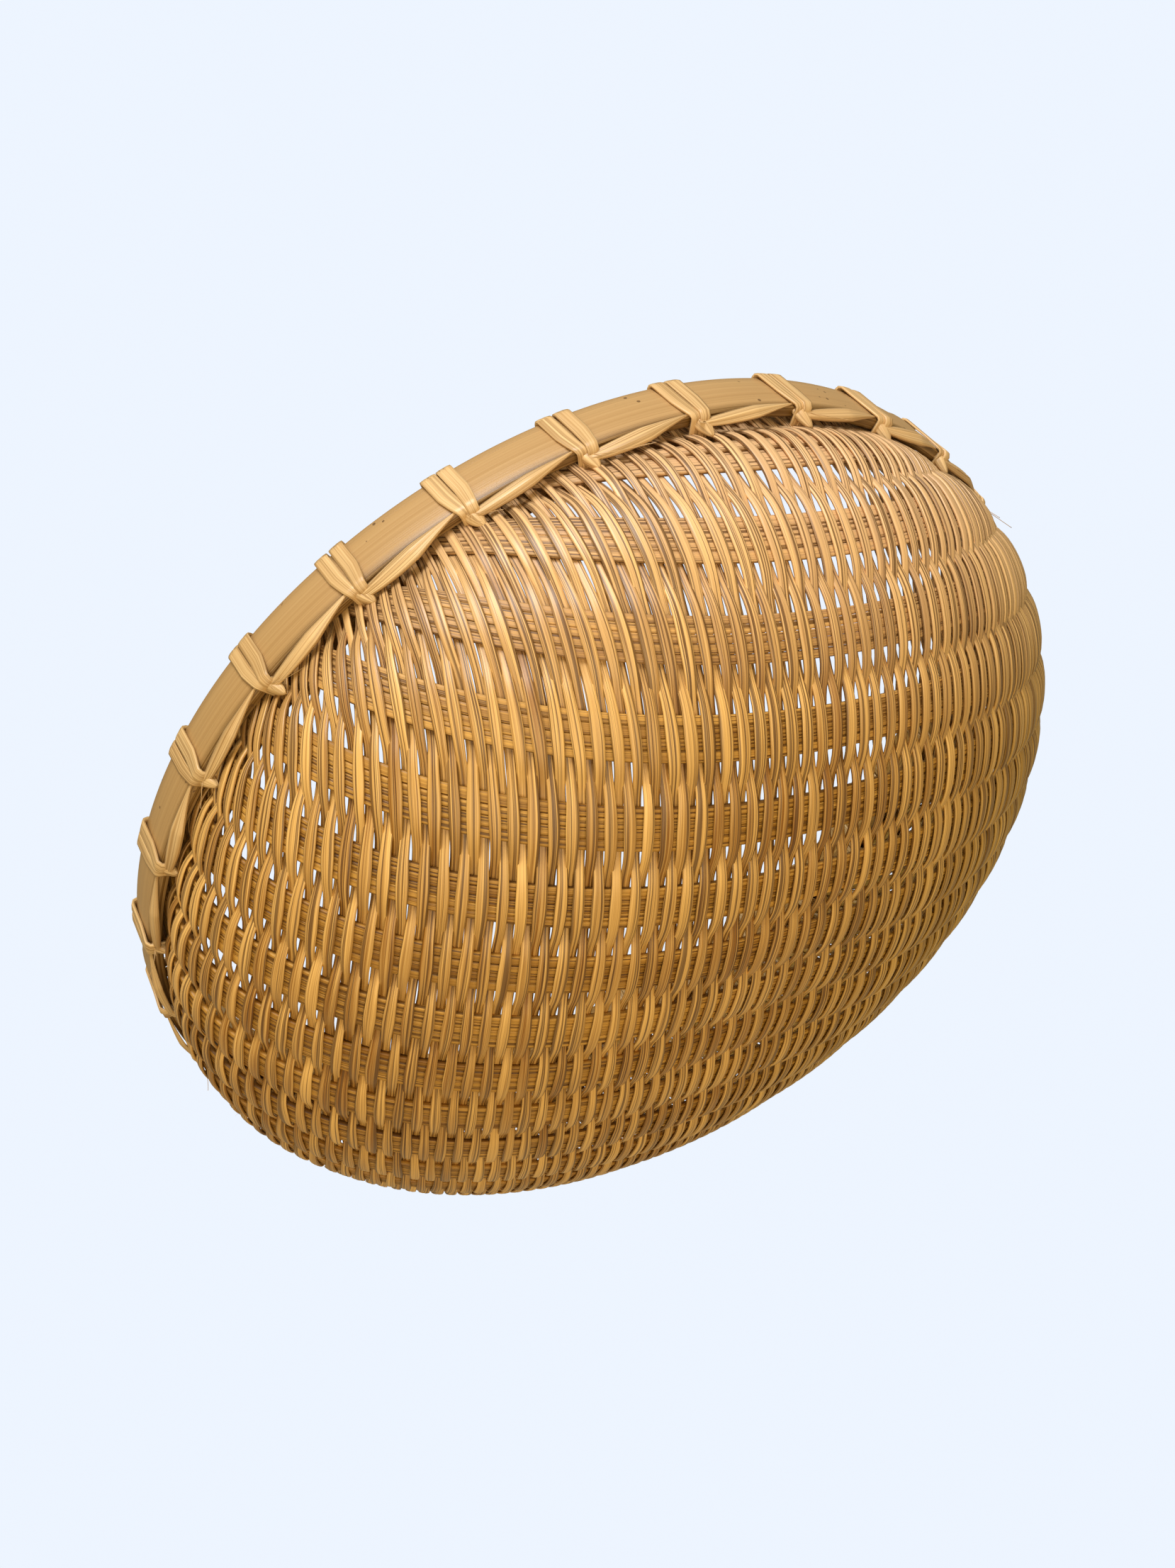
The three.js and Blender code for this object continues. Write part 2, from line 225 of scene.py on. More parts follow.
# %% Mesh helpers
class Skin:
    """Gathers strips into one mesh."""

    def __init__(self):
        self.points, self.quads, self.caps, self.cap_uvs = [], [], [], []
        self.quad_uvs, self.tones, self.count = [], [], 0

    def add(self, grid, along, around, tone, closed=False):
        """Adds a grid of rows x columns x 3, closed around its columns.

        along is each row's distance and around is each column's, plus the whole way round. A closed
        strip joins its last row to its first. The others get a cap on each end.
        """
        rows, columns = grid.shape[:2]
        self.points.append(grid.reshape(-1, 3))
        row = np.arange(rows if closed else rows - 1)[:, None]
        column = np.arange(columns)[None, :]
        next_row, next_column = (row + 1) % rows, (column + 1) % columns
        corners = [row * columns + column, next_row * columns + column,
                   next_row * columns + next_column, row * columns + next_column]
        self.quads.append(np.stack(corners, -1).reshape(-1, 4) + self.count)
        far = along[row + 1] if closed else along[next_row]
        wide = np.broadcast_to(around[column], corners[0].shape)
        wide_next = np.broadcast_to(around[column + 1], corners[0].shape)
        near = np.broadcast_to(along[row], corners[0].shape)
        far = np.broadcast_to(far, corners[0].shape)
        uv = np.stack([wide, near, wide, far, wide_next, far, wide_next, near], -1)
        self.quad_uvs.append(uv.reshape(-1, 2))
        if not closed:
            for first, place, order in ((0, along[0], 1), ((rows - 1) * columns, along[-1], -1)):
                self.caps.append((first + np.arange(columns))[::order] + self.count)
                self.cap_uvs.append(np.stack([around[:-1][::order], np.full(columns, place)], -1))
        self.tones.append(np.broadcast_to(tone, (rows, columns)).reshape(-1))
        self.count += rows * columns

    def make(self, name, material, replaced):
        """Writes the mesh and makes it a piece of the basket."""
        quads = np.concatenate(self.quads)
        loops = np.concatenate([quads.reshape(-1), *self.caps])
        sizes = np.concatenate([np.full(len(quads), 4), [len(cap) for cap in self.caps]]).astype(int)
        starts = np.concatenate([[0], np.cumsum(sizes)[:-1]])
        mesh = bpy.data.meshes.new(name)
        points = np.concatenate(self.points)
        mesh.vertices.add(len(points))
        mesh.vertices.foreach_set("co", points.reshape(-1))
        mesh.loops.add(len(loops))
        mesh.loops.foreach_set("vertex_index", loops)
        mesh.polygons.add(len(sizes))
        mesh.polygons.foreach_set("loop_start", starts)
        mesh.update(calc_edges=True)
        mesh.polygons.foreach_set("use_smooth", np.arange(len(sizes)) < len(quads))
        uvs = np.concatenate([*self.quad_uvs, *self.cap_uvs])
        mesh.uv_layers.new(name="strip").data.foreach_set("uv", uvs.reshape(-1))
        tone = mesh.attributes.new("tone", "FLOAT", "POINT")
        tone.data.foreach_set("value", np.concatenate(self.tones))
        mesh.validate()
        mesh.materials.append(material)
        piece = bpy.data.objects.new(name, mesh)
        bpy.context.scene.collection.objects.link(piece)
        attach(piece, "root")
        if replaced:
            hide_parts(replaced)
        return piece


def ring_distance(corners):
    """Distance round a cross-section at each corner, and the whole way round."""
    steps = np.linalg.norm(np.diff(corners, axis=0, append=corners[:1]), axis=1)
    return np.concatenate([[0], np.cumsum(steps)])


def flat_section(width, thickness, crown, grooves=0.0, face_corners=9, edge=0.12):
    """Corners of a splint's cross-section, as (side, lift) from its middle.

    The outer face is crowned: lift = thickness / 2 + crown (1 - s squared) - grooves cos(3 pi s),
    with s from -1 to 1 across it. The inner face is flat. The outer edges are rounded off down to
    edge thickness, from the middle.
    """
    share = np.linspace(-1, 1, face_corners)
    top = thickness / 2 + crown * (1 - share**2) - grooves * np.cos(3 * np.pi * share)
    top[[0, -1]] = thickness * edge
    side = np.sign(share) * np.abs(share) ** 0.9 * width / 2
    under_side = np.array([0.94, 0.0, -0.94]) * width / 2
    under = np.full(3, -thickness / 2)
    return np.stack([np.concatenate([side, under_side]), np.concatenate([top, under])], -1)


def drift(distance, size, wavelength):
    """A gentle wander along a strip: two sine waves with chance phases."""
    phases = chance.uniform(0, 2 * np.pi, 2)
    waves = np.sin(distance / wavelength * 2 * np.pi + phases[0])
    waves += 0.6 * np.sin(distance / wavelength * 4.7 + phases[1])
    return size * waves


# %% [markdown]
# ## Bamboo as a material
# Split bamboo shows fine straight fibres that run the length of the strip, a little darker or lighter
# from one to the next, and slow changes of colour along it. Image textures would blur close up, so a
# node group works the fibres out from the strip's own UV map, stretched many times longer than wide.
# Each kind of strip uses the group with its own scale, and keeps its own shader.


# %% Fibre node group
def group_with(name, inputs, outputs):
    """A shader node group with named sockets."""
    group = bpy.data.node_groups.new(name, "ShaderNodeTree")
    for socket, kind, default in inputs:
        made = group.interface.new_socket(socket, in_out="INPUT", socket_type=kind)
        if default is not None:
            made.default_value = default
    for socket, kind in outputs:
        group.interface.new_socket(socket, in_out="OUTPUT", socket_type=kind)
    return group


def add_node(tree, kind, **values):
    """Adds a node, sets its properties, and sets or links its inputs by name or index."""
    node = tree.nodes.new(kind)
    links = values.pop("inputs", {})
    for key, value in values.items():
        setattr(node, key, value)
    for key, value in links.items():
        socket = node.inputs[key]
        if isinstance(value, bpy.types.NodeSocket):
            tree.links.new(value, socket)
        else:
            socket.default_value = value
    return node


def math_node(tree, operation, a, b=0.0, clamp=False):
    """One Math node's result."""
    return add_node(tree, "ShaderNodeMath", operation=operation, use_clamp=clamp,
                    inputs={0: a, 1: b}).outputs[0]


def make_fibres():
    """Fine fibres and slow blotches along a strip, from its UV map in metres."""
    group = group_with(
        "bamboo fibres",
        [("Fibre Width", "NodeSocketFloat", 0.00022), ("Fibre Length", "NodeSocketFloat", 0.03)],
        [("Fibres", "NodeSocketFloat"), ("Lines", "NodeSocketFloat"), ("Blotches", "NodeSocketFloat")])
    enter = group.nodes.new("NodeGroupInput")
    leave = group.nodes.new("NodeGroupOutput")
    uv = add_node(group, "ShaderNodeUVMap", uv_map="strip").outputs[0]
    apart = add_node(group, "ShaderNodeSeparateXYZ", inputs={0: uv})
    tone = add_node(group, "ShaderNodeAttribute", attribute_name="tone").outputs["Fac"]
    side = math_node(group, "DIVIDE", apart.outputs[0], enter.outputs["Fibre Width"])
    length = math_node(group, "DIVIDE", apart.outputs[1], enter.outputs["Fibre Length"])
    own = math_node(group, "MULTIPLY", tone, 57.0)
    place = add_node(group, "ShaderNodeCombineXYZ", inputs={0: side, 1: length, 2: own}).outputs[0]
    fine = add_node(group, "ShaderNodeTexNoise", inputs={
        "Vector": place, "Scale": 1.0, "Detail": 3.0, "Roughness": 0.6})
    coarse_place = add_node(group, "ShaderNodeVectorMath", operation="MULTIPLY",
                            inputs={0: place, 1: (0.62, 0.5, 1.0)}).outputs[0]
    coarse = add_node(group, "ShaderNodeTexNoise", inputs={
        "Vector": coarse_place, "Scale": 1.0, "Detail": 1.0, "Roughness": 0.5})
    lines = add_node(group, "ShaderNodeMapRange", inputs={
        "Value": coarse.outputs[0], "From Min": 0.52, "From Max": 0.61}).outputs[0]
    blotch_place = add_node(group, "ShaderNodeVectorMath", operation="MULTIPLY",
                            inputs={0: place, 1: (0.06, 1.6, 1.0)}).outputs[0]
    blotches = add_node(group, "ShaderNodeTexNoise", inputs={
        "Vector": blotch_place, "Scale": 1.0, "Detail": 2.0, "Roughness": 0.5})
    group.links.new(fine.outputs[0], leave.inputs["Fibres"])
    group.links.new(lines, leave.inputs["Lines"])
    group.links.new(blotches.outputs[0], leave.inputs["Blotches"])
    return group


FIBRES = make_fibres()
print("node group:", FIBRES.name)

# %% [markdown]
# The basket is not one even colour. On the side where the light falls from, a painted sheen makes the
# weavers rosier and paler, and towards the side turned away from the light a painted shade takes them
# from orange straw to a darker, greener straw. A second group works that out from Object coordinates,
# because it belongs to the whole basket and not to one strip.

# %% Painted sheen and shade node group
# Towards where the light falls from: the weave there gets a painted sheen, paler and rosier.
PAINTED_SHEEN_SIDE = Vector((0.27, -0.68, 0.68))
# Towards the side turned away from the light: the weave there gets painted shade, darker and greener.
PAINTED_SHADE_SIDE = Vector((0.87, 0.25, -0.45))


def make_painted_light():
    """How much painted sheen (pale, rosy) and painted shade (dark, green) a place on the basket gets."""
    group = group_with("cane tints", [("Unevenness", "NodeSocketFloat", 0.35)],
                       [("Painted Sheen", "NodeSocketFloat"), ("Green", "NodeSocketFloat")])
    enter = group.nodes.new("NodeGroupInput")
    leave = group.nodes.new("NodeGroupOutput")
    place = add_node(group, "ShaderNodeTexCoord").outputs["Object"]
    cloud = add_node(group, "ShaderNodeTexNoise", inputs={
        "Vector": place, "Scale": 16.0, "Detail": 2.0, "Roughness": 0.5}).outputs[0]
    uneven = math_node(group, "MULTIPLY", math_node(group, "SUBTRACT", cloud, 0.5),
                       enter.outputs["Unevenness"])
    # Each share rises across the basket towards its side: painted sheen towards the light, painted shade
    # away from it.
    for name, side, start, end in (("Painted Sheen", PAINTED_SHEEN_SIDE, 0.055, 0.135), ("Green", PAINTED_SHADE_SIDE, -0.02, 0.10)):
        reach = add_node(group, "ShaderNodeVectorMath", operation="DOT_PRODUCT",
                         inputs={0: place, 1: side.normalized()}).outputs["Value"]
        share = add_node(group, "ShaderNodeMapRange", interpolation_type="SMOOTHSTEP", inputs={
            "Value": reach, "From Min": start, "From Max": end}).outputs[0]
        group.links.new(math_node(group, "ADD", share, uneven, clamp=True), leave.inputs[name])
    return group


PAINTED_LIGHT = make_painted_light()
print("node group:", PAINTED_LIGHT.name)

# %% [markdown]
# The skin of the outer hoop has a scatter of small dark specks, as old cane does. Voronoi cells give
# one dot each, and a slow noise leaves most of them out.


# %% Speck node group
def make_specks():
    """Small dark dots, a few in a cluster and most places none."""
    group = group_with("cane specks", [("Size", "NodeSocketFloat", 0.16)],
                       [("Specks", "NodeSocketFloat")])
    enter = group.nodes.new("NodeGroupInput")
    leave = group.nodes.new("NodeGroupOutput")
    place = add_node(group, "ShaderNodeTexCoord").outputs["Object"]
    cells = add_node(group, "ShaderNodeTexVoronoi", inputs={"Vector": place, "Scale": 420.0}).outputs[0]
    cloud = add_node(group, "ShaderNodeTexNoise", inputs={
        "Vector": place, "Scale": 110.0, "Detail": 1.0}).outputs[0]
    dots = math_node(group, "LESS_THAN", cells, enter.outputs["Size"])
    chosen = math_node(group, "GREATER_THAN", cloud, 0.60)
    group.links.new(math_node(group, "MULTIPLY", dots, chosen), leave.inputs["Specks"])
    return group


SPECKS = make_specks()
print("node group:", SPECKS.name)


# %% [markdown]
# ## Finishes
# One function builds every bamboo finish from named colours: a dark and a light tone that the fibres
# mix, a colour for the thin dark lines between fibre bundles, and how much painted sheen and painted
# shade is let in. What is the same all over a strip, such as the sheen of its skin, is set on the
# shader itself.


# %% Bamboo finish
FIBRE_SHARE = 2.4  # how much the fibres count in mixing a strip's two tones
BLOTCH_SHARE = 0.9  # and the slow blotches
TONE_SHARE = 0.45  # and the strip's own tone
# A pale rosy colour, mixed in as painted sheen on the side the light falls from.
PAINTED_SHEEN_COLOUR = (0.84, 0.56, 0.33, 1)
# A dark green colour, mixed in as painted shade on the side turned away from the light.
PAINTED_SHADE_COLOUR = (0.32, 0.22, 0.020, 1)
SPECK_COLOUR = (0.10, 0.045, 0.015, 1)


def bamboo(name, dark, light, line, roughness, fibre_width, fibre_length, bump=0.00006, coat=0.0,
           tint=1.0, line_strength=0.55, cut=None, specks=0.0):
    """A bamboo material: fibres mix two tones, lines darken it, and a painted sheen and a painted shade
    shift its hue and brightness.

    cut is the colour of cut edges, which have a tone of 0, and specks is how strong the spots are.
    """
    material = bpy.data.materials.new(name)
    material.use_nodes = True
    tree = material.node_tree
    shader = tree.nodes["Principled BSDF"]
    fibres = add_node(tree, "ShaderNodeGroup", node_tree=FIBRES, inputs={
        "Fibre Width": fibre_width, "Fibre Length": fibre_length})
    tints = add_node(tree, "ShaderNodeGroup", node_tree=PAINTED_LIGHT)
    tone = add_node(tree, "ShaderNodeAttribute", attribute_name="tone").outputs["Fac"]
    mixed = math_node(tree, "MULTIPLY", fibres.outputs["Fibres"], FIBRE_SHARE)
    for part, part_share in ((fibres.outputs["Blotches"], BLOTCH_SHARE), (tone, TONE_SHARE)):
        mixed = math_node(tree, "ADD", mixed, math_node(tree, "MULTIPLY", part, part_share))
    share = add_node(tree, "ShaderNodeMapRange", inputs={
        "Value": mixed, "From Min": 1.42, "From Max": 2.33}).outputs[0]
    colour = mix_colour(tree, share, (*dark, 1), (*light, 1))
    # Painted sheen: paler and rosier towards the light.
    painted_sheen = math_node(tree, "MULTIPLY", tints.outputs["Painted Sheen"], 0.7 * tint)
    colour = mix_colour(tree, painted_sheen, colour, PAINTED_SHEEN_COLOUR)
    # Painted shade: darker and greener away from the light.
    painted_shade = math_node(tree, "MULTIPLY", tints.outputs["Green"], 0.6 * tint)
    colour = mix_colour(tree, painted_shade, colour, PAINTED_SHADE_COLOUR)
    lines = math_node(tree, "MULTIPLY", fibres.outputs["Lines"], line_strength)
    colour = mix_colour(tree, lines, colour, (*line, 1))
    if cut:
        edge = add_node(tree, "ShaderNodeMapRange", inputs={
            "Value": tone, "From Min": 0.30, "From Max": 0.05}).outputs[0]
        streaks = add_node(tree, "ShaderNodeMapRange", inputs={
            "Value": fibres.outputs["Fibres"], "From Min": 0.62, "From Max": 0.42}).outputs[0]
        streaked = math_node(tree, "MULTIPLY", edge, math_node(tree, "ADD", streaks, 0.25), clamp=True)
        colour = mix_colour(tree, streaked, colour, (*cut, 1))
    if specks:
        spots = add_node(tree, "ShaderNodeGroup", node_tree=SPECKS)
        spotted = math_node(tree, "MULTIPLY", spots.outputs[0], specks)
        colour = mix_colour(tree, spotted, colour, SPECK_COLOUR)
    tree.links.new(colour, shader.inputs["Base Color"])
    rough = add_node(tree, "ShaderNodeMapRange", inputs={
        "Value": fibres.outputs["Fibres"], "From Min": 0.3, "From Max": 0.7,
        "To Min": roughness - 0.08, "To Max": roughness + 0.10}).outputs[0]
    tree.links.new(rough, shader.inputs["Roughness"])
    height = math_node(tree, "SUBTRACT", fibres.outputs["Fibres"], lines)
    relief = add_node(tree, "ShaderNodeBump", inputs={
        "Strength": 0.8, "Distance": bump, "Height": height})
    tree.links.new(relief.outputs[0], shader.inputs["Normal"])
    shader.inputs["Coat Weight"].default_value = coat
    shader.inputs["Coat Roughness"].default_value = 0.35
    return material


def mix_colour(tree, share, a, b):
    """A colour mix of two colours or sockets."""
    node = add_node(tree, "ShaderNodeMix", data_type="RGBA")
    for index, value in ((0, share), (6, a), (7, b)):
        if isinstance(value, bpy.types.NodeSocket):
            tree.links.new(value, node.inputs[index])
        else:
            node.inputs[index].default_value = value
    return node.outputs[2]


WEAVER_FINISH = bamboo("weaver splint", (0.25, 0.092, 0.004), (0.80, 0.470, 0.135), (0.08, 0.025, 0.001),
                       0.42, 0.00026, 0.060, coat=0.35, line_strength=0.8)
RIB_FINISH = bamboo("rib splint", (0.23, 0.090, 0.003), (0.62, 0.330, 0.058), (0.08, 0.026, 0.001),
                    0.5, 0.00028, 0.045, line_strength=0.8)
OUTER_HOOP_FINISH = bamboo("outer hoop skin", (0.38, 0.215, 0.075), (0.45, 0.275, 0.105),
                           (0.24, 0.120, 0.032), 0.38, 0.00050, 0.12, coat=0.2, tint=0.2,
                           line_strength=0.12, cut=(0.13, 0.060, 0.008), specks=0.8)
INNER_HOOP_FINISH = bamboo("inner hoop", (0.34, 0.17, 0.03), (0.56, 0.32, 0.09), (0.16, 0.07, 0.01),
                           0.55, 0.00035, 0.06, tint=0.3, cut=(0.20, 0.10, 0.015))
LASHING_FINISH = bamboo("lashing strip", (0.44, 0.25, 0.085), (0.73, 0.50, 0.23), (0.22, 0.10, 0.02),
                        0.40, 0.00035, 0.040, coat=0.2, tint=0.3, line_strength=0.45)
print("finishes:", [finish.name for finish in bpy.data.materials if finish.users == 0])

# %% [markdown]
# ## Ribs
# Each rib is a bundle of flat splints, split from one length of cane and laid edge to edge. They are
# thicker and darker than the weavers, and hold the bowl's shape. A single wide strip would look too
# clean, so each rib is made of four or five splints with thin gaps between them. The last rib on each
# side, by the rim, is only a pair with room between.

# %% Rib splints
RIB_WIDTH = 9.0 * MM
RIB_THICKNESS = 1.1 * MM
SPLINT_GAP = 0.07 * MM
RIB_STEP = 2.4 * MM


def strip_grid(place, lay, distance, turned, lift, section, widths, roll, sway):
    """Points of a strip whose middle is at its own offset plus sway, as rows by section corners.

    Each corner is moved square to the strip on the sheet, and lifted. turned says that the strip
    runs along the sheet's second direction.
    """
    offset = offset_of(place, lay, distance) + sway
    slope = np.gradient(offset, distance)
    length = np.hypot(1, slope)
    side = section[None, :, 0] * widths[:, None]
    walk = distance[:, None] - side * (slope / length)[:, None]
    across = offset[:, None] + side / length[:, None]
    raised = lift[:, None] + section[None, :, 1] + side * roll[:, None]
    if turned:
        return onto_bowl(across, walk, raised)
    return onto_bowl(walk, across, raised)[:, ::-1]


def rib_splints(rib):
    """Places and widths of the splints that make up a rib, from one side of it to the other."""
    if abs(rib) == RIBS_PER_SIDE:
        return [(-2.9 * MM, 2.9 * MM), (2.0 * MM, 4.6 * MM)]
    shares = chance.uniform(0.85, 1.2, 4 if rib % 3 else 5)
    widths = shares / shares.sum() * (RIB_WIDTH - SPLINT_GAP * (len(shares) - 1))
    starts = np.concatenate([[0], np.cumsum(widths + SPLINT_GAP)[:-1]]) - RIB_WIDTH / 2
    return list(zip(starts + widths / 2, widths))


for rib in range(-RIBS_PER_SIDE, RIBS_PER_SIDE + 1):
    skin = Skin()
    for middle, width in rib_splints(rib):
        place = rib_place(rib) + middle
        distance = run_of(place, RIB_LAY, RIB_STEP)
        section = flat_section(width, RIB_THICKNESS, 0.03 * MM, 0.02 * MM, 9, edge=0.40)
        lift = drift(distance, 0.035 * MM, 60 * MM)
        ones = np.ones(len(distance))
        grid = strip_grid(place, RIB_LAY, distance, False, lift, section, ones, 0.02 * ones,
                          drift(distance, 0.025 * MM, 80 * MM))
        skin.add(grid, distance + chance.uniform(0, 1), ring_distance(section)[::-1].copy(),
                 chance.uniform(0, 1))
    number = rib + RIBS_PER_SIDE + 1
    skin.make(f"rib_splints_{number:02d}", RIB_FINISH, f"rib_{number:02d}")
print("ribs:", 2 * RIBS_PER_SIDE + 1)

# %% [markdown]
# ## Weavers
# The weavers are what makes the basket. Each is a thin splint that passes outside one rib and inside
# the next, and its neighbours do the opposite, so between two ribs they all slip past each other. A
# splint's lift is a flattened cosine of the rib number, which is exactly in step with the ribs
# wherever they fan out. It is widest over a rib and narrow where it squeezes between its
# neighbours, and it leans there, so that the edges overlap like shingles. A simulation would find a
# similar shape, far more slowly.

# %% Weaver splints
WEAVER_WIDTH = 2.52 * MM
SQUEEZED_SHARE = 0.80
WEAVER_THICKNESS = 0.55 * MM
WEAVER_LIFT = 1.0 * MM
FLATNESS = 1.6  # how level a weaver lies over a rib
WEAVER_STEP = 1.7 * MM
SHINGLE = 0.08  # slope of a splint's face where it squeezes past its neighbours


def weaver_skin(skin, place, phase):
    """Adds one weaver splint. phase is 1 where it is outside the even ribs, and -1 where inside."""
    distance = run_of(place, WEAVER_LAY, WEAVER_STEP)
    sway = drift(distance, 0.13 * MM, chance.uniform(30, 60) * MM)
    sway *= 1 + 1.2 * (np.hypot(place, distance) / SHEET) ** 6
    number = rib_number(offset_of(place, WEAVER_LAY, distance), distance)
    swing = np.cos(np.pi * number)
    fade = np.clip((RIBS_PER_SIDE + 0.95 - np.abs(number)) / 0.5, 0, 1)
    level = phase * np.tanh(FLATNESS * swing) / np.tanh(FLATNESS) * fade
    squeeze = np.abs(np.sin(np.pi * number)) * fade
    widths = 1 - (1 - SQUEEZED_SHARE) * squeeze**1.5
    bow = 0.22 * MM * np.maximum(level, 0) * np.abs(swing)
    width = WEAVER_WIDTH * chance.uniform(0.88, 1.10)
    section = flat_section(width, WEAVER_THICKNESS, 0.05 * MM, 0.04 * MM, edge=0.32)
    grid = strip_grid(place, WEAVER_LAY, distance, True, WEAVER_LIFT * level + bow, section, widths,
                      SHINGLE * squeeze**2, sway)
    skin.add(grid, distance + chance.uniform(0, 1), ring_distance(section), chance.uniform(0, 1))


splint = 0
for band in range(-BANDS_PER_SIDE, BANDS_PER_SIDE + 1):
    skin = Skin()
    for within in range(SPLINTS_PER_BAND):
        place = band * BAND_SPACING + (within - (SPLINTS_PER_BAND - 1) / 2) * WEAVER_PITCH
        splint += 1
        weaver_skin(skin, place, 1 if splint % 2 else -1)
    number = band + BANDS_PER_SIDE + 1
    skin.make(f"weaver_splints_{number:02d}", WEAVER_FINISH, f"weaver_band_{number:02d}")
print("weavers:", splint)

# %% [markdown]
# ## Hoops
# Two hoops of thick split bamboo clamp the edge of the weave. The outer one keeps the cane's smooth
# skin, which is slightly crowned, and it is fibrous and darker towards its lower edge. Each hoop is
# one strip carried round the rim, and its ends meet in a slanted cut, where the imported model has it.
# A faint ridge marks each joint of the cane.

# %% Hoop strips
SCARF_ANGLE = math.radians(62)
SCARF_LENGTH = 12 * MM
SCARF_FADE = math.radians(30)
SCARF_GAP = 0.5 * MM
JOINT_RIDGE = 0.30 * MM


def hoop_section(thickness, height, crown, corners=7):
    """Corners of a hoop's cross-section as (outwards, up), from the middle of its outer face.

    The outer face is crowned by crown (1 - s squared), and the four edges are eased.
    """
    ease = 0.35 * MM
    share = np.linspace(-1, 1, corners)
    face = np.stack([crown * (1 - share**2), share * (height / 2 - ease)], -1)
    back = np.stack([np.full(corners, -thickness), -share * (height / 2 - ease)], -1)
    top = np.array([[-ease, height / 2], [-thickness / 2, height / 2], [ease - thickness, height / 2]])
    under = top[::-1] * (1, -1)
    return np.concatenate([face, top, back, under])


def hoop_strip(skin, face_radius, section, middle_height, joints):
    """Carries a section round the rim, with a slanted gap and a ridge at each joint of the cane.

    The tone falls to 0 at the lower edge, where the fibres of the cut cane show dark.
    """
    rows = 361
    share = np.linspace(0, 1, rows)
    gap = SCARF_GAP / face_radius
    turn = gap / 2 + share * (2 * np.pi - gap)
    from_end = np.minimum(turn, 2 * np.pi - turn)
    slant = np.clip(1 - from_end / SCARF_FADE, 0, 1) * SCARF_LENGTH / face_radius / 2
    up_share = section[:, 1] / section[:, 1].max()
    angle = SCARF_ANGLE + turn[:, None] + slant[:, None] * up_share[None, :]
    ridge = np.zeros(rows)
    for joint in joints:
        away = np.angle(np.exp(1j * (SCARF_ANGLE + turn - joint))) * face_radius
        rise = np.exp(-((away / (0.9 * MM)) ** 2))
        dip = np.exp(-(((away - 2.4 * MM) / (1.6 * MM)) ** 2))
        ridge += JOINT_RIDGE * (rise - 0.4 * dip)
    wander = 0.18 * MM * np.sin(3 * angle + 1.0) + 0.12 * MM * np.sin(7 * angle)
    outward = np.clip(1 + section[:, 0] / (1 * MM), 0, 1)
    radius = face_radius + section[None, :, 0] + ridge[:, None] * outward[None, :]
    height = middle_height + section[None, :, 1] + wander
    grid = np.stack([radius * np.cos(angle), radius * np.sin(angle), height], -1)
    tone = np.interp(up_share, [-1, -0.8, -0.4, 0.667, 1], [0, 0.22, 0.55, 0.55, 0.2])
    skin.add(grid, turn * face_radius, ring_distance(section), tone)


hoop_middle = (HOOP_TOP + HOOP_BOTTOM) / 2
hoop_height = HOOP_TOP - HOOP_BOTTOM
skin = Skin()
hoop_strip(skin, RIM_RADIUS - 0.35 * MM, hoop_section(2.6 * MM, hoop_height, 0.45 * MM), hoop_middle,
           [math.radians(angle) for angle in (178, 301, 52)])
skin.make("rim_outer_hoop_strip", OUTER_HOOP_FINISH, "rim_outer_hoop")
skin = Skin()
hoop_strip(skin, RIM_INSIDE + 2.2 * MM, hoop_section(2.2 * MM, hoop_height, 0.05 * MM), hoop_middle,
           [math.radians(angle) for angle in (120, 245)])
skin.make("rim_inner_hoop_strip", INNER_HOOP_FINISH, "rim_inner_hoop")
print("hoops: outer face at", round(RIM_RADIUS / MM, 1), "mm")

# %% [markdown]
# ## Lashing
# One long pale strip binds the hoops. At each station it goes twice round them and through the weave
# just below, is tucked into a small knot, and runs on to the next station as a twisted leaf along
# the underside of the hoop. The wraps are closed loops swept round a rounded rectangle. The runs are
# ribbons that widen in the middle, fold a little down their length, and turn over as they go.

# %% Lashing path and sections
STATIONS = 30
STRIPS = 3
FIRST_STATION = math.radians(5)
STRAP_WIDTH = 3.2 * MM
STRAP_THICKNESS = 0.55 * MM
STRAP_LEAN = -1.0 * MM
NECK_HEIGHT = HOOP_BOTTOM - 1.1 * MM


def around_rim(angle, shift, radius, height):
    """Points at an angle round the rim, shifted along it."""
    turned = angle + shift / radius
    return np.stack([radius * np.cos(turned), radius * np.sin(turned), height], -1)


def wrap_path(rows=56):
    """Radius, height and outward normal of a loop round both hoops, with rounded corners."""
    ease = 1.0 * MM
    clear = 0.12 * MM + STRAP_THICKNESS / 2
    right, left = RIM_RADIUS + clear + 0.1 * MM, RIM_INSIDE - clear
    top, bottom = HOOP_TOP + clear + 0.1 * MM, NECK_HEIGHT
    corners = [(right, top, 0), (left, top, 90), (left, bottom, 180), (right, bottom, 270)]
    points, normals = [], []
    for radius, height, start in corners:
        turn = np.radians(np.linspace(start, start + 90, 6))
        inset = (radius - np.sign(math.cos(math.radians(start + 45))) * ease,
                 height - np.sign(math.sin(math.radians(start + 45))) * ease)
        normals.append(np.stack([np.cos(turn), np.sin(turn)], -1))
        points.append(np.array(inset) + ease * normals[-1])
    points, normals = np.concatenate(points), np.concatenate(normals)
    run = ring_distance(points)
    even = np.linspace(0, run[-1], rows, endpoint=False)
    wrapped = np.concatenate([points, points[:1]]), np.concatenate([normals, normals[:1]])
    path = np.stack([np.interp(even, run, wrapped[0][:, axis]) for axis in (0, 1)], -1)
    normal = np.stack([np.interp(even, run, wrapped[1][:, axis]) for axis in (0, 1)], -1)
    normal /= np.linalg.norm(normal, axis=1, keepdims=True)
    return path, normal, np.concatenate([even, [run[-1]]])


PATH, PATH_NORMAL, PATH_RUN = wrap_path()


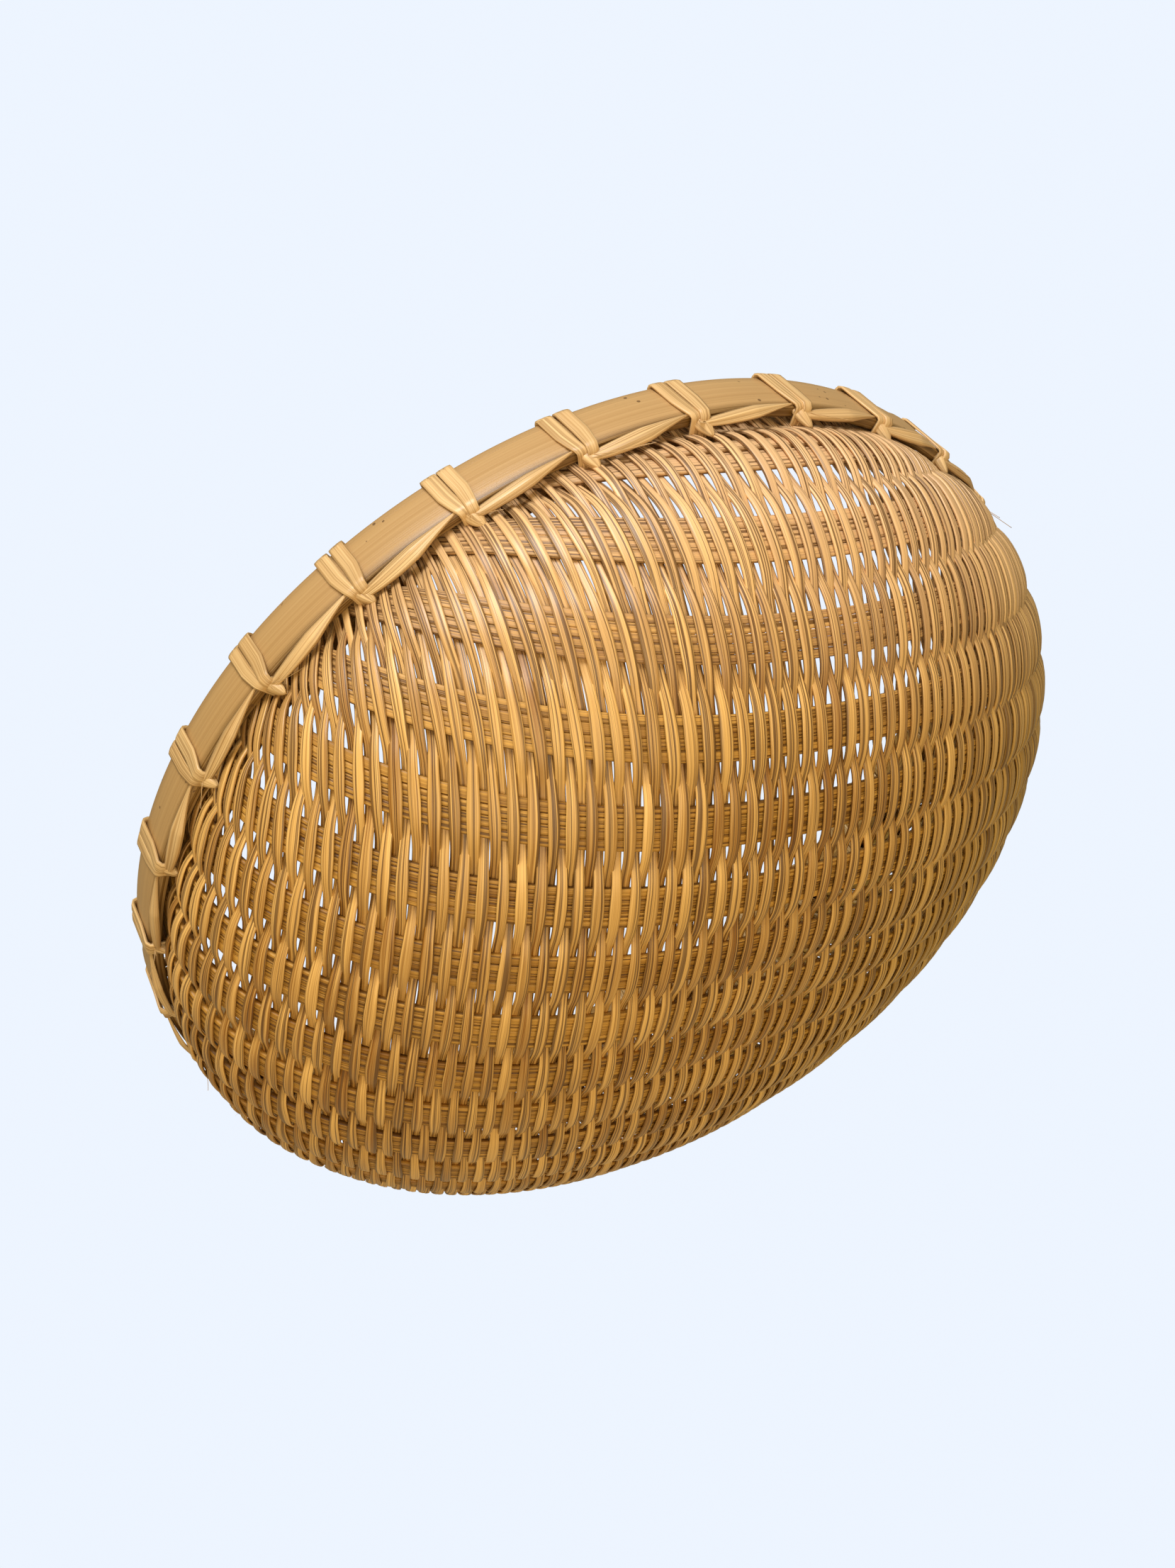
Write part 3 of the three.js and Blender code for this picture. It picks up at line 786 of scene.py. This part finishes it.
def add_wrap(skin, angle, side):
    """One turn of the strip round the hoops. side is -1 for the first turn and 1 for the second."""
    section = flat_section(STRAP_WIDTH * chance.uniform(0.92, 1.06), STRAP_THICKNESS, 0.04 * MM,
                           0.01 * MM, 7, edge=0.38)
    up = np.clip((PATH[:, 1] - NECK_HEIGHT) / (HOOP_TOP - NECK_HEIGHT), 0, 1)
    free = np.clip(up / 0.45, 0, 1) ** 0.7
    widths = 0.7 + 0.3 * free
    middle = side * (0.80 + 0.92 * free) * MM + STRAP_LEAN * (up - 0.5) + chance.uniform(-0.3, 0.3) * MM
    sunk = side * 0.28 * MM * (1 - free)
    shift = middle[:, None] + section[None, :, 0] * widths[:, None]
    out = section[None, :, 1] + sunk[:, None]
    radius = PATH[:, 0, None] + out * PATH_NORMAL[:, 0, None]
    height = PATH[:, 1, None] + out * PATH_NORMAL[:, 1, None]
    grid = around_rim(angle, shift, radius, height)[:, ::-1]
    skin.add(grid, PATH_RUN + chance.uniform(0, 1), ring_distance(section)[::-1].copy(),
             chance.uniform(0.2, 1), closed=True)


def add_leaf(skin, start, end):
    """The run from one station to the next: a folded ribbon, widest before its middle, that twists.

    Its width is (2.0 mm + about 1.9 mm sin(pi t ** 0.8)) times a taper to a point, and its face turns from
    down to outwards.
    """
    share = np.linspace(0, 1, 44)
    step = (end - start) * RIM_RADIUS
    shift = 0.6 * MM + share * (step - chance.uniform(0.2, 1.4) * MM)
    taper = np.clip((1.02 - share) / 0.5, 0, 1) ** 0.8
    width = (2.0 * MM + chance.uniform(1.4, 2.4) * MM * np.sin(np.pi * share**0.8)) * taper
    twist = np.radians(chance.uniform(-65, -45) + chance.uniform(25, 45) * share)
    section = flat_section(1.0, 0.0, 1.0, 0.0, 11)
    fold = 1 + 0.25 * np.cos(2 * np.pi * section[:, 0] * 1.5 + chance.uniform(0, 6))
    side = section[None, :, 0] * width[:, None]
    puff = (0.10 * MM + 0.16 * width)[:, None] * (section[:, 1] * fold)[None, :]
    out = puff + np.where(section[:, 1] < 1e-9, -0.25 * MM, 0)[None, :]
    drop = HOOP_BOTTOM - 0.46 * width + 1.5 * MM * share**1.6 - 0.6 * MM
    turn_cos, turn_sin = np.cos(twist)[:, None], np.sin(twist)[:, None]
    outside = RIM_RADIUS - 1.3 * MM + 1.1 * MM * np.minimum(share / 0.5, 1)
    radius = outside[:, None] + out * turn_cos - side * turn_sin * 0.6
    height = drop[:, None] + side * turn_cos + out * turn_sin
    grid = around_rim(start, shift[:, None], radius, height)
    skin.add(grid, shift + chance.uniform(0, 1), ring_distance(section) * 4 * MM, chance.uniform(0.1, 1))


def add_knot(skin, angle):
    """The tuck under a station: a small folded cushion of strip that hangs from the hoops."""
    rows, columns = 14, 20
    latitude = np.linspace(np.pi / 2, -np.pi / 2, rows)[1:-1, None]
    longitude = np.linspace(0, 2 * np.pi, columns, endpoint=False)[None, :]
    ridges = 1 + 0.09 * np.cos(4 * longitude + chance.uniform(0, 6))
    girth = np.cos(latitude) * (1 + 0.3 * np.sin(latitude)) * ridges
    down = chance.uniform(2.0, 2.7) * MM * np.sin(latitude) * np.ones_like(longitude)
    shift = 0.9 * MM + 1.55 * MM * girth * np.sin(longitude) - 0.3 * down
    height = NECK_HEIGHT - 0.5 * MM + down
    radius = RIM_RADIUS - 1.9 * MM + 1.25 * MM * girth * np.cos(longitude) + 0.35 * down
    grid = around_rim(angle, shift, radius, height)
    skin.add(grid, down[:, 0] + chance.uniform(0, 1), np.linspace(0, 8 * MM, columns + 1),
             chance.uniform(0.4, 1))


def add_fray(skin, angle, width):
    """A loose end of strip, which leaves its knot, bends away and tapers to a point.

    It goes sideways by lean s + 0.3 s squared and down by s, for s from 0 to its length, and its
    width lies square to that.
    """
    share = np.linspace(0, 1, 16)
    length = chance.uniform(5, 11) * MM
    shift = 0.9 * MM + length * (chance.uniform(-0.9, 0.9) * share + 0.3 * share**2)
    height = NECK_HEIGHT - length * chance.uniform(0.3, 0.9) * share
    radius = RIM_RADIUS - 0.8 * MM + length * chance.uniform(0.05, 0.45) * share**1.4
    along, down = np.gradient(shift), np.gradient(height)
    steps = np.hypot(along, down)
    section = np.array([[-0.5, 0], [0, 0.07 * MM], [0.5, 0], [0, -0.07 * MM]])
    side = section[None, :, 0] * (width * (1 - 0.9 * share))[:, None]
    grid = around_rim(angle, shift[:, None] - side * (down / steps)[:, None],
                      radius[:, None] + section[None, :, 1],
                      height[:, None] + side * (along / steps)[:, None])
    skin.add(grid, length * share, np.linspace(0, 2 * width, 5), chance.uniform(0.3, 0.9))


TORN_STATION = 22
per_strip = STATIONS // STRIPS
for strip in range(STRIPS):
    skin = Skin()
    for station in range(strip * per_strip, (strip + 1) * per_strip):
        angle = FIRST_STATION + station * 2 * math.pi / STATIONS
        add_wrap(skin, angle, -1)
        add_wrap(skin, angle, 1)
        add_knot(skin, angle)
        add_leaf(skin, angle, angle + 2 * math.pi / STATIONS)
        for _ in range(chance.integers(0, 4)):
            add_fray(skin, angle, chance.uniform(0.10, 0.22) * MM)
        if station == TORN_STATION:
            add_fray(skin, angle, 1.5 * MM)
    skin.make(f"lashing_strip_{strip + 1:02d}", LASHING_FINISH, f"rim_lashing_{strip + 1:02d}")
print("stations:", STATIONS)

# %% [markdown]
# ## Stage and light
# A pale floor lies under the basket. The main view comes from below it, so its underside is clear,
# and it only stops rays that the camera sends from above. Soft light comes from a large cool panel
# over the camera, with a weaker, warmer one below to fill. The camera sees a pale sky that is a little
# blue, but the light that the sky sheds on the basket is warm, as if from the walls of a room.

# %% Floor, lamps and sky
FLOOR_SIZE = 3.0
FLOOR_COLOUR = (0.66, 0.76, 0.98, 1)
SKY_SEEN = 1.0
SKY_COLOUR = (0.85, 0.91, 1.0, 1)
SKY_LIGHT = 0.38
ROOM_COLOUR = (1.0, 0.80, 0.44, 1)
KEY_PLACE = (-0.24, 0.68, 0.76)  # right, up and back in the view, from the middle of the basket
KEY_COLOUR = (0.96, 0.98, 1.0)
FILL_PLACE = (0.1, -0.3, 0.8)
FILL_COLOUR = (1.0, 0.84, 0.56)


def make_floor():
    """A pale floor that is clear from underneath."""
    half = FLOOR_SIZE / 2
    mesh = bpy.data.meshes.new("floor")
    mesh.from_pydata([(-half, -half, 0), (half, -half, 0), (half, half, 0), (-half, half, 0)], [],
                     [(0, 1, 2, 3)])
    material = bpy.data.materials.new("floor")
    material.use_nodes = True
    tree = material.node_tree
    shader = tree.nodes["Principled BSDF"]
    shader.inputs["Base Color"].default_value = FLOOR_COLOUR
    shader.inputs["Roughness"].default_value = 0.7
    behind = add_node(tree, "ShaderNodeNewGeometry").outputs["Backfacing"]
    seen = add_node(tree, "ShaderNodeLightPath").outputs["Is Camera Ray"]
    solid = math_node(tree, "MULTIPLY", seen, math_node(tree, "SUBTRACT", 1.0, behind))
    clear = add_node(tree, "ShaderNodeBsdfTransparent").outputs[0]
    mix = add_node(tree, "ShaderNodeMixShader", inputs={0: solid, 1: clear, 2: shader.outputs[0]})
    tree.links.new(mix.outputs[0], tree.nodes["Material Output"].inputs["Surface"])
    mesh.materials.append(material)
    floor = bpy.data.objects.new("floor", mesh)
    bpy.context.scene.collection.objects.link(floor)
    floor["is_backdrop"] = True


def add_panel(name, view_place, size, power, colour):
    """A square area lamp that faces the basket, placed by the view's own directions."""
    data = bpy.data.lights.new(name, "AREA")
    data.size = size
    data.energy = power
    data.color = colour
    lamp = bpy.data.objects.new(name, data)
    lamp.location = MIDDLE + VIEW_TURN @ Vector(view_place)
    lamp.rotation_euler = (MIDDLE - lamp.location).to_track_quat("-Z", "Y").to_euler()
    bpy.context.scene.collection.objects.link(lamp)


make_floor()
VIEW_TURN = Matrix.LocRotScale(None, camera.rotation_euler, None)
MIDDLE = Vector((0, 0, HOOP_TOP / 2))
add_panel("key panel", KEY_PLACE, 0.5, 9.8, KEY_COLOUR)
add_panel("fill panel", FILL_PLACE, 0.7, 4.2, FILL_COLOUR)

world = bpy.data.worlds.new("sky")
world.use_nodes = True
sky = world.node_tree.nodes["Background"]
sky.inputs["Color"].default_value = SKY_COLOUR
sky.inputs["Strength"].default_value = SKY_SEEN
room = add_node(world.node_tree, "ShaderNodeBackground", inputs={
    "Color": ROOM_COLOUR, "Strength": SKY_LIGHT})
seen = add_node(world.node_tree, "ShaderNodeLightPath").outputs["Is Camera Ray"]
both = add_node(world.node_tree, "ShaderNodeMixShader", inputs={
    0: seen, 1: room.outputs[0], 2: sky.outputs[0]})
world.node_tree.links.new(both.outputs[0], world.node_tree.nodes["World Output"].inputs["Surface"])
bpy.context.scene.world = world
bpy.context.scene.view_settings.view_transform = "Standard"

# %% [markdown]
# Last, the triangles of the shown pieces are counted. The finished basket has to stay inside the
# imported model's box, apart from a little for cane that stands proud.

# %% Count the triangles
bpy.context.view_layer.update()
triangles = sum(len(o.data.loops) - 2 * len(o.data.polygons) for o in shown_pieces() if o.type == "MESH")
print("triangles:", triangles)
